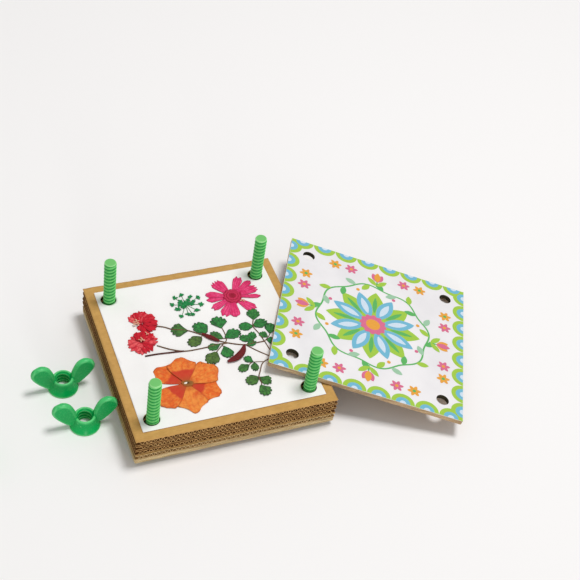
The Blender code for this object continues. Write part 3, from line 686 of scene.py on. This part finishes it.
print("wing nuts")
nutSkin = fused([hubGrid(), wingGrid(1), wingGrid(-1)], nut["voxel"], nut["smoothing"])
nutPoints = np.empty(len(nutSkin.vertices) * 3)
nutSkin.vertices.foreach_get("co", nutPoints)
nutPoints = (nutPoints.reshape(-1, 3) - stackOrigin) * 1000
for name, turn in nut["turns"].items():
    x, y, _ = middle("wing_nut_" + name)
    c, s = cos(radians(turn)), sin(radians(turn))
    lift = tableHeight - nutPoints[:, 2].min()
    placed = nutPoints @ np.array([[c, s, 0], [-s, c, 0], [0, 0, 1]]) + (x, y, lift)
    mesh = nutSkin.copy()
    mesh.vertices.foreach_set("co", (placed / 1000 + stackOrigin).ravel())
    mesh.materials.clear()
    mesh.materials.append(looks["nutPlastic"])
    mesh.shade_smooth()
    mesh.update()
    wingNut = added("wingNut_" + name, mesh)
    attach(wingNut, name + "_nut")
    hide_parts("wing_nut_" + name)
bpy.data.meshes.remove(nutSkin)


lid = {"half": boardHalf, "hole": boltReach, "holeRadius": 3.9, "thickness": 3.0, "corner": 1.0,
       "turn": 28.4}

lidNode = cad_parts["top_board"]
lidUp = Vector((0, 0, 0))
for face in lidNode.data.polygons:
    if face.normal.z > 0.9:
        lidUp += face.normal * face.area
tilt = atan2(lidUp.x, lidUp.z)
lidTurn = Matrix.Rotation(tilt, 3, "Y") @ Matrix.Rotation(-radians(lid["turn"]), 3, "Z")
lidAxes = np.array(lidTurn).T  # rows: along the front edge, towards the back, out of the face
lidMiddle = middle("top_board")


def onLid(flat, height):  # points of the board's own plane, height above its middle
    return lidMiddle + stacked(flat[..., 0], flat[..., 1], height) @ lidAxes


def lidBoard():
    grids = []
    for flat in quadrants(lid["half"], lid["hole"], lid["holeRadius"], 30, 10):
        fromHole = np.linspace(0, 1, len(flat))[:, None] + 0 * flat[..., 0]
        points = onLid(roundedCorners(flat, lid["half"], lid["corner"]), lid["thickness"] / 2)
        grids.append({"points": points, "uv": np.stack([fromHole, fromHole], -1)})
    board = piece("leaningBoard", grids, ["lidFace", "lidEdge"], "lid", ["top_board"])
    wall(board, lid["thickness"], -1.0, rim=1, back=1, bevel=0.16)


def patch(flat, ink, layer):  # a printed shape, a hair above the face
    return {"points": onLid(flat, lid["thickness"] / 2 + 0.02 * layer), "slot": list(inks).index(ink)}


def leafPatch(at, turn, length, width, ink, layer, sharpness=0.75):
    # Half width = width * sin(pi u) ^ sharpness along its length.
    u, v = crossed((0, 1, 19), (-1, 1, 5))
    x, y = swung(at, turn, u * length, v * width * np.sin(pi * u) ** sharpness)
    return patch(stacked(x, y, 0)[..., :2], ink, layer)


def discPatch(at, radius, ink, layer, wave=0.0, lobes=0, start=0.0, sweep=2 * pi):
    # radius * (1 + wave * cos(lobes * angle)), over a full or part turn.
    share, angle = crossed((0, 1, 4), (start, start + sweep, 12 * max(lobes, 4) + 1))
    reach = share * radius * (1 + wave * np.cos(lobes * angle))
    return patch(circled(at, reach, angle, 0)[..., :2], ink, layer)


def linePatch(path, width, ink, layer):
    # A line of even width along a path.
    ahead = np.gradient(path, axis=0)
    ahead /= np.linalg.norm(ahead, axis=1, keepdims=True)
    aside = np.stack([-ahead[:, 1], ahead[:, 0]], 1) * width / 2
    return patch(np.stack([path + aside, path - aside], 1), ink, layer)


def tulip(at, turn, size, ink, second):
    # Three leaf shapes fanned from one foot.
    leaves = ((-0.42, 0.92, ink, 3), (0.42, 0.92, ink, 3), (0, 1.0, second, 4))
    return [leafPatch(at, turn + spread, size * reach, size * 0.24, *look)
            for spread, reach, *look in leaves]


# The rosette's leaves are (1 where between the first ones, start, length, half width, ink, layer,
# sharpness), and the scallops (radius, ink, layer).

folk = {
    "vine": 36, "vineSwing": 1.4, "vineLeaves": 24, "tulip": 9.0, "flowers": ((18, "pink"), (29, "orange")),
    "rosette": ((0, 4, 27, 6.4, "lime", 2, 0.9), (0, 11, 15, 1.5, "green", 3, 0.75),
                (1, 6, 23, 4.7, "blue", 3, 0.8), (1, 10, 14, 2.1, "paleBlue", 4, 0.8)),
    "scallops": ((7.4, "lime", 1), (4.6, "blue", 2), (2.0, "paleBlue", 3)),
}


def lidShapes():
    # A folk rosette inside a leafy vine, a tulip towards each side, and a scalloped border. The vine
    # runs at vine + swing * sin(8 * angle) from the middle.
    ring = np.linspace(0, 2 * pi, 321)
    vine = folk["vine"] + folk["vineSwing"] * np.sin(8 * ring)
    yield linePatch(circled((0, 0), vine, ring, 0)[:, :2], 1.1, "green", 2)
    for i in range(folk["vineLeaves"]):
        angle = 2 * pi * (i + 0.5) / folk["vineLeaves"]
        start = polar(folk["vine"] + folk["vineSwing"] * sin(8 * angle), angle)
        lean = 0.75 if i % 2 else pi - 0.75
        yield leafPatch(start, angle + lean, 8, 2.0, ("lime", "sage", "green")[i % 3], 3)
    for i in range(8):
        for between, start, *leaf in folk["rosette"]:
            angle = 2 * pi * i / 8 + between * pi / 8
            yield leafPatch(polar(start, angle), angle, *leaf)
        yield discPatch(polar(31.5, angle), 1.2, "pink" if i % 2 else "orange", 4)
    yield discPatch((0, 0), 8.4, "pink", 5, 0.07, 12)
    yield discPatch((0, 0), 4.6, "orange", 6)
    for i in range(4):
        angle = pi / 2 * i
        foot = np.array(polar(1, angle))
        aside = np.array([-foot[1], foot[0]])
        yield linePatch(np.linspace(foot * 37, foot * 43, 9), 0.9, "green", 2)
        petals = ("pink", "orange") if i % 2 else ("orange", "pink")
        yield from tulip(foot * 42, angle, folk["tulip"], *petals)
        for way in (-1, 1):
            yield leafPatch(foot * 38, angle + way * 0.8, 9, 1.8, "lime", 3)
            for step, ink in folk["flowers"]:
                at = foot * 47 + aside * way * step
                for k in range(6):
                    yield leafPatch(at, 2 * pi * k / 6 + 0.2, 4.4, 1.15, ink, 3, 0.6)
                yield discPatch(at, 1.1, "orange" if ink == "pink" else "green", 4)
        for k in range(8):
            at = foot * 59.8 + aside * (k - 3.5) * 15
            for radius, ink, layer in folk["scallops"]:
                yield discPatch(at, radius, ink, layer, start=angle + pi / 2, sweep=pi)


print("upper board")
lidBoard()
shapes = list(lidShapes())
for i, shape in enumerate(shapes):  # neighbours of one layer lie a few thousandths apart
    shape["points"] = shape["points"] + lidAxes[2] * 0.003 * (i % 6)
piece("printedBorder", shapes, [ink + "Ink" for ink in inks], "lid")


# Pressed flowers. A petal is (direction in degrees, reach, half width, lobes at its tip, tone).

flowers = {
    "pink": {"middle": (26.4, 32.2), "disc": 5.2, "tuft": (31.3, 27.6), "petals": (
        (59, 18.4, 2.9, 2, 0.4), (35, 18.6, 2.2, 1, 0.2), (13, 18.4, 3.2, 3, 0.3), (-12, 17.8, 1.7, 1, 0.1),
        (-54, 17.8, 3.6, 3, 0.35), (-102, 17.3, 3.1, 1, 0.2), (-124, 18, 3.3, 2, 0.4),
        (-153, 17.2, 2.6, 2, 0.45), (178, 16.4, 2.4, 1, 0.3), (161, 16.6, 2.6, 1, 0.2),
        (117, 16.6, 4.2, 4, 0.3))},
    "orange": {"middle": (-21.4, -27.6), "heart": 2.3, "petals": (
        (134, 21.3, 7.8, 2, 0.9), (-34, 21, 7.6, 2, 0.95), (-92, 21.8, 8.8, 1, 0.05),
        (-149, 22.3, 7.6, 4, 0.8), (21, 22.4, 8.6, 2, 0.4), (86, 20, 8.6, 2, 0.55))},
    "upper": {"middle": (-32.9, 23.2), "tufts": (((-4.4, 0.4), 15, 1.7),), "petals": (
        (-118, 6.6, 2.8, 2, 0.3), (128, 10, 3.6, 2, 0.45), (-76, 8, 4, 2, 0.1),
        (92, 10.3, 4.2, 2, 0.15), (54, 9.7, 4.6, 2, 0.4), (-36, 8.8, 4.6, 2, 0.05), (10, 9.2, 4.9, 2, 0.2))},
    "lower": {"middle": (-37.4, 8.7), "tufts": (((-0.4, 0.6), 7, 1.2), ((3.8, 4.6), 3, 0.5)), "petals": (
        (140, 8, 3.8, 2, 0.4), (178, 9.2, 3.9, 3, 0.5), (-110, 9.6, 3.2, 2, 0.49),
        (-148, 9.2, 3.9, 3, 0.42), (-74, 9, 3.6, 3, 0.15), (-34, 8, 3.4, 2, 0.3),
        (4, 9.2, 4, 3, 0.4), (42, 9.6, 4, 2, 0.3), (84, 8.8, 4.2, 2, 0.05))},
    "umbel": {"middle": (-3.6, 32.4), "florets": (
        (-3.9, 40.6), (-8.6, 38.9), (0.6, 37.8), (-11.6, 33.7), (-9.4, 29.4), (5.4, 36.2), (5.6, 30.2),
        (1.8, 26.1), (-8.6, 23.4), (-4.3, 24.3), (-1.6, 23.2), (-2.7, 33.8), (0.2, 31.6), (-5.6, 30.6),
        (-5.8, 35), (-1, 35.6), (-3.8, 31.8), (-4.8, 33.4), (-1.6, 32.4), (1.8, 33.6), (-7.2, 32.6))},
}


def petalGrid(at, turn, start, reach, width, shape, rise, roundTip, notch, lobes, seed, tone, slot=0,
              ruffle=0.12, ragged=0.3, rows=(30, 33)):
    # u runs from foot to tip, v across. Half width = width * shape(u); the tip draws back by
    # roundTip * v^2 and, between its lobes, by notch, and its rim is ragged; it arches and ruffles.
    u, v = crossed((0, 1, rows[0]), (-1, 1, rows[1]))
    profile = np.interp(u, np.linspace(0, 1, len(shape)), shape)
    cut = 0.5 + 0.5 * (-1) ** lobes * np.cos(lobes * pi * v)
    along = start + (reach - start) * u - u ** 6 * (roundTip * v ** 2 + notch * cut)
    along = along + ragged * unevenness(v * 6 + u, 1.5, seed) * u ** 6
    across = width * profile * v + 0.3 * unevenness(u * 10, 4, seed + 1) * u
    z = paperTop + rise + 0.25 * np.sin(pi * u) + ruffle * np.sin(7 * v + 6 * u + seed) * u
    x, y = swung(at, turn, along, across)
    return {"points": stacked(x, y, z), "uv": np.stack([u, v], -1), "tone": tone, "slot": slot}


def moundGrid(at, radius, height, rise, rings, lobes=0, seed=0, slot=0, rough=0.1, stretch=1.0, turn=0.0):
    # A low dome with concentric ripples: height * cos(pi r / 2) ^ 0.7 plus ripples; it is stretched
    # along the direction turn, in radians.
    share, angle = crossed((0, 1, 24), (0, 2 * pi, 73))
    reach = radius * share * (1 + 0.05 * np.cos(lobes * angle + seed))
    z = paperTop + rise + height * np.cos(share * pi / 2) ** 0.7
    z = z + rough * np.sin(share * rings * 2 * pi) * share
    z = z + rough * np.sin(18 * angle + 9 * share) * np.sin(share * pi)
    uv = np.stack([share, angle / (2 * pi)], -1)
    x, y = swung(at, turn, reach * np.cos(angle) * stretch, reach * np.sin(angle))
    return {"points": stacked(x, y, z), "uv": uv, "slot": slot}


def curl(at, seed, count, spread, radius, slot, rise):
    # Short curled threads lying over a blossom's heart.
    random = np.random.default_rng(seed)
    for i in range(count):
        turn, bend = random.uniform(0, 2 * pi), random.uniform(0.5, 1.6)
        foot = np.array(at) + random.uniform(-spread, spread, 2)
        angle = turn + np.linspace(0, bend, 12)
        aside = (np.cos(angle) - cos(turn)) * 1.3, (np.sin(angle) - sin(turn)) * 1.3
        path = stacked(foot[0] + aside[0], foot[1] + aside[1], paperTop + rise + 0.12 * (i % 4))
        yield {"points": tube(path, radius, 6), "slot": slot}


def pressed(name, grids, materials, node, thickness):  # a flower or sprig on the top paper
    wall(piece(name, grids, materials, "top_layer", [node]), thickness)


def pinkFlower():
    f = flowers["pink"]
    shape = (0.4, 0.52, 0.68, 0.84, 0.97, 1.0, 0.9)
    for i, (turn, reach, width, lobes, tone) in enumerate(f["petals"]):
        yield petalGrid(f["middle"], radians(turn), 3.0, reach, width, shape, 0.12 + 0.14 * (i % 2), 1.3,
                        1.5 if lobes > 1 else 0.8, lobes, 40 + i, tone)
    yield moundGrid(f["middle"], f["disc"] + 0.8, 0.9, 0.3, 4, 11, 3, 1, 0.14)
    yield from curl(f["tuft"], 33, 3, 0.6, 0.22, 2, 0.9)


def orangeFlower():
    f = flowers["orange"]
    shape = (0.14, 0.38, 0.66, 0.88, 1.0, 0.98, 0.76)
    for i, (turn, reach, width, lobes, tone) in enumerate(f["petals"]):
        yield petalGrid(f["middle"], radians(turn), 0.8, reach, width, shape, 0.1 + 0.13 * i,
                        3.0 if lobes > 2 else 6.3, 2.2 if lobes == 1 else 0.4, lobes, 60 + i, tone)
    x, y = f["middle"]
    yield moundGrid((x + 0.6, y), f["heart"], 0.3, 0.78, 2, 5, 4, 1, 0.08, 1.5, -0.28)
    yield moundGrid((x - 0.5, y + 0.1), 0.62, 0.2, 1.05, 1, 3, 4, 2, 0.03, 1.7, 0.2)


def redBlossom(name, seed):
    f = flowers[name]
    shape = (0.3, 0.58, 0.84, 1.0, 1.02, 0.9)
    for ring, share in enumerate((1.0, 0.58)):
        for i, (turn, reach, width, lobes, tone) in enumerate(f["petals"][ring:]):
            yield petalGrid(f["middle"], radians(turn + 20 * ring), 0.3, reach * share, width * share, shape,
                            0.12 + 0.35 * ring + 0.09 * i, 1.7 * share, 0.9 * share, lobes,
                            seed + 20 * ring + i, tone, 2 if tone >= 0.4 else 0, 0.2, 0.85 * share)
    for place, count, spread in f["tufts"]:
        yield from curl(np.array(f["middle"]) + place, seed, count, spread, 0.15, 1, 1.75)


def umbelFlower():
    f = flowers["umbel"]
    shape = (0.5, 0.9, 1, 0.75, 0.3)
    yield moundGrid(f["middle"], 0.9, 0.3, 0.15, 2, 5, 1, 1, 0.04)
    random = np.random.default_rng(5)
    for i, floret in enumerate(f["florets"]):
        line = np.linspace(f["middle"], floret, 8)
        yield {"points": tube(np.c_[line, np.full(8, paperTop + 0.16)], 0.11, 6), "slot": 1}
        for k in range(6):
            turn = 2 * pi * k / 6 + random.uniform(-0.35, 0.35)
            yield petalGrid(floret, turn, 0.05, random.uniform(1.1, 2.3), 0.62, shape, 0.2 + 0.08 * (k % 3),
                            0.2, 0, 1, 300 + 10 * i + k, 0.5, 0, 0.05, rows=(9, 9))


# A leaf is (x, y, length, width, direction in degrees from its stalk, olive share); a stem or a pod is
# its points and thickness.

sprigs = {
    "leaf_sprig": {
        "leaves": (
            (-13.5, 12.8, 10, 10, 162, 0.6), (-0.4, 11.4, 10, 9, 114, 0),
            (11.5, 13.3, 8.8, 9.6, 88, 0), (-6.9, 2.4, 9.8, 7.4, -157, 1),
            (6.9, 3.2, 8.2, 6.4, 135, 0.4), (16.3, 2.4, 10.5, 7.2, 18, 0),
            (2.8, -4.5, 8, 5.4, -166, 0.3), (-0.9, -12.8, 9.8, 8.2, -130, 1),
            (8.7, -10.2, 9.4, 7.4, -88, 0.05), (26.3, 6.4, 8.6, 6.6, 171, 0),
            (33.9, 14.8, 8.5, 8, 74, 0.1), (35.6, 6.7, 9.1, 7, 14, 0),
            (40.2, 1.5, 8.8, 6.6, 68, 0.05), (34.5, -2.5, 5.6, 4.6, 127, 0.2),
            (37.1, -7.7, 4.4, 5.9, -19, 0), (22.5, -2.6, 6.8, 5.8, 141, 0.05),
            (27.3, -2.2, 6.6, 5.4, 73, 0), (25, -7.3, 6.2, 4.6, 12, 0)),
        "stems": (
            (((-25.6, 19.3), (-21.3, 17.4), (-17.8, 14.9), (-8.6, 11.5), (-1.6, 6.3), (9, -2.1),
              (15.9, -5.6), (21.2, -7.4), (27.7, -7.5), (33.3, -7.4)), 0.3),
            (((-29.6, 4.4), (-22.6, -0.4), (-15.7, -3.5), (-7.3, -4), (-0.8, -3.8), (5.3, -3.2),
              (11, -3.6)), 0.3),
            (((11.9, 8.8), (12.1, 3.3), (11, -1.8), (8.3, -3.9), (2.9, -8.6)), 0.2),
            (((32.5, 10.8), (30.6, 5.4), (31.9, 0.3), (33.3, -7.4), (34.2, -15.2)), 0.22),
            (((38.6, -2.5), (36.6, -4.8), (33.3, -7.4)), 0.18),
            (((21.2, -7.4), (26, -13), (31.9, -18.9)), 0.24)),
        "darkStems": ((((-38.4, -1.9), (-32, -2), (-26, -2.5), (-15.7, -3.5)), 0.42),),
        "pods": ((((-1.4, 6.8), (2.6, 2.7), (6.8, -1.4)), 1.5),
                 (((20.5, -7.8), (17.6, -12.5), (12.3, -16.5), (6.6, -18)), 2.1)),
    },
    "small_leaf_sprig": {
        "leaves": (
            (19.2, -19, 6.6, 5, 129, 0.1), (14.5, -24.2, 7.6, 5.6, -157, 0.5),
            (21, -24.9, 6.4, 4.6, -104, 0.45), (16.2, -34.2, 8.3, 7, -167, 0.7),
            (23.6, -36, 7.4, 6.8, -50, 0.5), (20.7, -43.1, 7.8, 7.2, -74, 0.45)),
        "stems": ((((30.7, -21.2), (27, -22.9), (22.9, -28.9), (20.6, -33.3), (20.8, -37.5)), 0.26),
                  (((27, -22.4), (24, -21.8), (20.7, -21.2)), 0.14)),
    },
}


def leafGrid(x, y, length, width, direction, olive, seed):
    # A fan: its reach is the smaller of a circle, with blunt teeth towards the far end, and of two
    # straight sides that meet at the stalk. The map's second value is the angle seen from the stalk.
    share, angle = crossed((0, 1, 11), (-pi, pi, 121))
    back = np.abs(angle) / pi
    teeth = (np.abs(np.cos(5.5 * angle + 0.4 * seed)) - 0.6) * 0.22 * np.clip(1.25 - 1.6 * back, 0, 1)
    teeth = teeth * (1 + 0.8 * unevenness(angle * 4, 1.7, seed + 3))
    side = (0.76, 0.86, 0.8, 0.92)[seed % 4] / np.maximum(np.cos(np.abs(angle) - 0.75 * pi), 0.3)
    reach = share * np.minimum(1.02 + teeth + 0.07 * unevenness(angle * 2, 1.3, seed), side)
    along, across = reach * np.cos(angle) * length / 2, reach * np.sin(angle) * width / 2
    z = paperTop + 0.4 + 0.2 * np.cos(3 * angle + seed) * share ** 2
    z = z + 0.06 * unevenSheet(along, across, 1.2, seed)
    uv = np.stack([share, np.arctan2(across, along + 0.6 * length) / (pi / 2)], -1)
    x, y = swung((x, y), radians(direction), along, across)
    return {"points": stacked(x, y, z), "uv": uv, "tone": olive}


def sprig(node):
    f = sprigs[node]
    lines = []
    for kind, slot in (("stems", 1), ("darkStems", 3)):
        for stem, radius in f.get(kind, ()):
            path = smoothPath(stem, 60)
            lines.append(path)
            lifted = np.c_[path, np.full(60, paperTop + 0.05 + radius * 0.7)]
            yield {"points": tube(lifted, radius, 8, None, 0.7), "slot": slot}
    stems = np.concatenate(lines)
    for i, leaf in enumerate(f["leaves"]):
        x, y, length, _, direction, _ = leaf
        stalk = np.array((x, y)) - np.array(polar(1, radians(direction))) * length * 0.45
        foot = stems[np.linalg.norm(stems - stalk, axis=1).argmin()]
        if np.linalg.norm(stalk - foot) > 0.8:
            line = np.linspace(foot, stalk, 8)
            yield {"points": tube(np.c_[line, np.full(8, paperTop + 0.24)], 0.17, 6), "slot": 1}
        yield leafGrid(*leaf, 500 + i)
    for pod, radius in f.get("pods", ()):
        path = smoothPath(pod, 30)
        bulge = np.sin(np.linspace(0.12, pi - 0.25, 30)) ** 0.8
        lifted = np.c_[path, np.full(30, paperTop + 0.2 + radius * 0.45)]
        yield {"points": tube(lifted, radius, 14, bulge, 0.45), "slot": 2}


print("pressed flowers")
pressed("pinkFlower", pinkFlower(), ["pinkPetal", "crimsonDisc", "stamen"], "pink_flower",
        0.12)
pressed("orangeFlower", orangeFlower(), ["orangePetal", "oliveHeart", "paleHeart"], "orange_flower",
        0.12)
for name, seed in (("lower", 100), ("upper", 200)):
    pressed("redBlossom_" + name, redBlossom(name, seed), ["redPetal", "stamen", "coralPetal"],
            "red_blossom_" + name, 0.1)
pressed("greenUmbel", umbelFlower(), ["umbelGreen", "umbelRay"], "green_umbel", 0.08)
for name, node in (("leafSprig", "leaf_sprig"), ("smallLeafSprig", "small_leaf_sprig")):
    pressed(name, sprig(node), ["driedLeaf", "driedStem", "maroonPod", "darkStem"], node, 0.1)


# Floor, light and camera

# Lights stand at (right, ahead, up) in metres from the stack, seen from the camera.

studio = {
    "floor": (245, 243, 242), "world": 0.42, "backdrop": 0.6,
    "lights": {"softKey": {"energy": 22.6, "size": 0.6, "from": (0.4, 0.25, 1.9)},
               "frontFill": {"energy": 7.5, "size": 0.5, "from": (0.62, -1.84, 0.4)}},
}
camera = {"place": (-184.04, -433.21, 538.62), "azimuth": 28.16, "elevation": 44.70, "roll": -10.59,
          "lens": 73.46}

print("studio")
recipeFor("studioFloor").finish(studio["floor"], 0.9, specular=0.2)
floorMesh = bpy.data.meshes.new("studioFloor")
z = float(stackOrigin[2] + tableHeight / 1000)
floorMesh.from_pydata([(-2, -2, z), (2, -2, z), (2, 2, z), (-2, 2, z)], [], [(0, 1, 2, 3)])
floorMesh.materials.append(looks["studioFloor"])
floor = added("studioFloor", floorMesh)

# The world's strength is studio["world"], and studio["backdrop"] where one of these rays meets it.
bpy.context.scene.world = bpy.data.worlds.new("studio")
sky = Recipe(bpy.context.scene.world, "Background")
seen = 0
for kind in ("Is Camera Ray", "Is Glossy Ray", "Is Transmission Ray"):
    ray = sky.node("LightPath", output=kind)
    seen = sky.node("Math", {"operation": "ADD", "use_clamp": True}, {0: ray, 1: seen})
limits = {"Value": seen, "To Min": studio["world"], "To Max": studio["backdrop"]}
sky.fill(sky.shader, {"Color": (1, 1, 1, 1), "Strength": sky.node("MapRange", None, limits)})

azimuth, elevation, roll = (radians(camera[k]) for k in ("azimuth", "elevation", "roll"))
back = Vector((-sin(azimuth) * cos(elevation), -cos(azimuth) * cos(elevation), sin(elevation)))
right = (-back).cross(Vector((0, 0, 1))).normalized()
down = (-back).cross(right)
rolledRight = right * cos(roll) + down * sin(roll)
rolledDown = down * cos(roll) - right * sin(roll)
eye = Vector((stackOrigin + np.array(camera["place"]) / 1000).tolist())
view = bpy.data.cameras.new("photographView")
view.lens, view.sensor_width = camera["lens"], 36
viewObject = added("photographView", view)
viewObject.matrix_world = Matrix((rolledRight, -rolledDown, back)).transposed().to_4x4()
viewObject.location = eye
bpy.context.scene.camera = viewObject

ahead = Vector((sin(azimuth), cos(azimuth), 0))
for name, lamp in studio["lights"].items():
    light = bpy.data.lights.new(name, "AREA")
    light.energy, light.shape, light.size = lamp["energy"], "DISK", lamp["size"]
    lightObject = added(name, light)
    aim = right * lamp["from"][0] + ahead * lamp["from"][1] + Vector((0, 0, lamp["from"][2]))
    lightObject.location = Vector(stackOrigin.tolist()) + aim
    lightObject.rotation_euler = aim.to_track_quat("Z", "Y").to_euler()
bpy.context.scene.view_settings.view_transform = "Standard"

print("finish")
